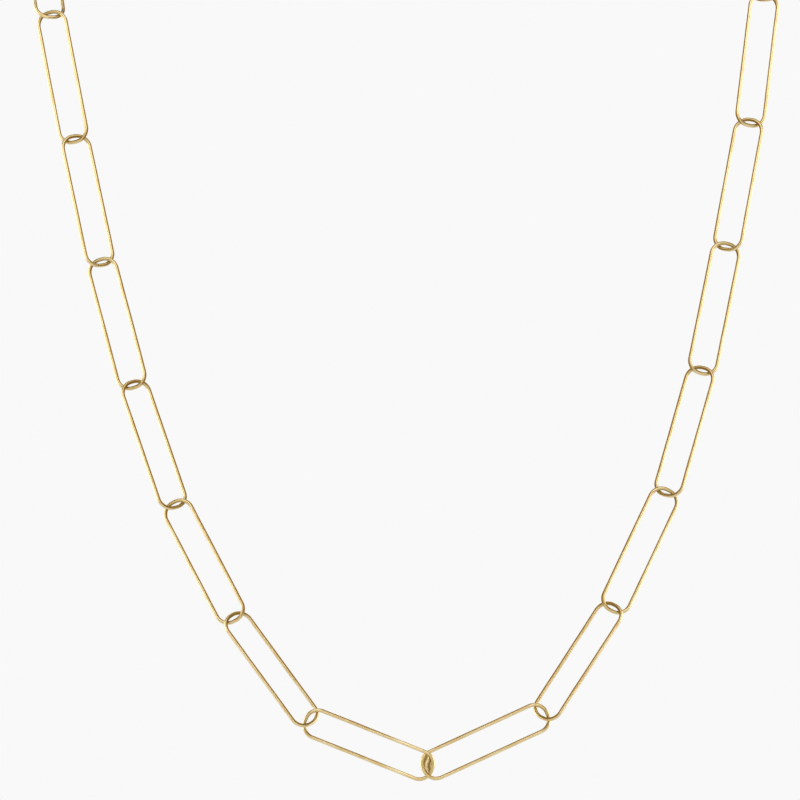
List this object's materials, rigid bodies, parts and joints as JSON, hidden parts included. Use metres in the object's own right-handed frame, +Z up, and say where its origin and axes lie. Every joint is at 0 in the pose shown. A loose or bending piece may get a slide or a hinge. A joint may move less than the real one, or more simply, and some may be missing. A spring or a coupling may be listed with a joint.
{
  "type": "paperclip chain necklace",
  "caption": "Necklace of long narrow gold wire links, each through the next, in the form it has round a neck, closed at the back by a plain barrel clasp.",
  "frame": {"origin": "middle of the line between the two joints where the chain goes over the shoulders, so inside the neck opening", "axes": "+Z up, -Y toward the wearer's front, +X to the right of a viewer who faces the wearer"},
  "size_m": [0.1103, 0.0795, 0.1459],
  "materials": {
    "gold": "polished yellow gold"
  },
  "bodies": {
    "root": {"link_01": "gold", "link_02": "gold", "link_03": "gold", "link_04": "gold", "link_05": "gold", "link_06": "gold", "link_07": "gold", "link_08": "gold", "link_09": "gold", "link_10": "gold", "link_11": "gold", "link_12_13": "gold", "link_14": "gold", "link_15": "gold", "link_16": "gold", "link_17": "gold", "link_18": "gold", "link_19": "gold", "link_20": "gold", "link_21": "gold", "link_22": "gold", "link_23": "gold", "link_24": "gold", "clasp": "gold"}
  },
  "joints": []
}
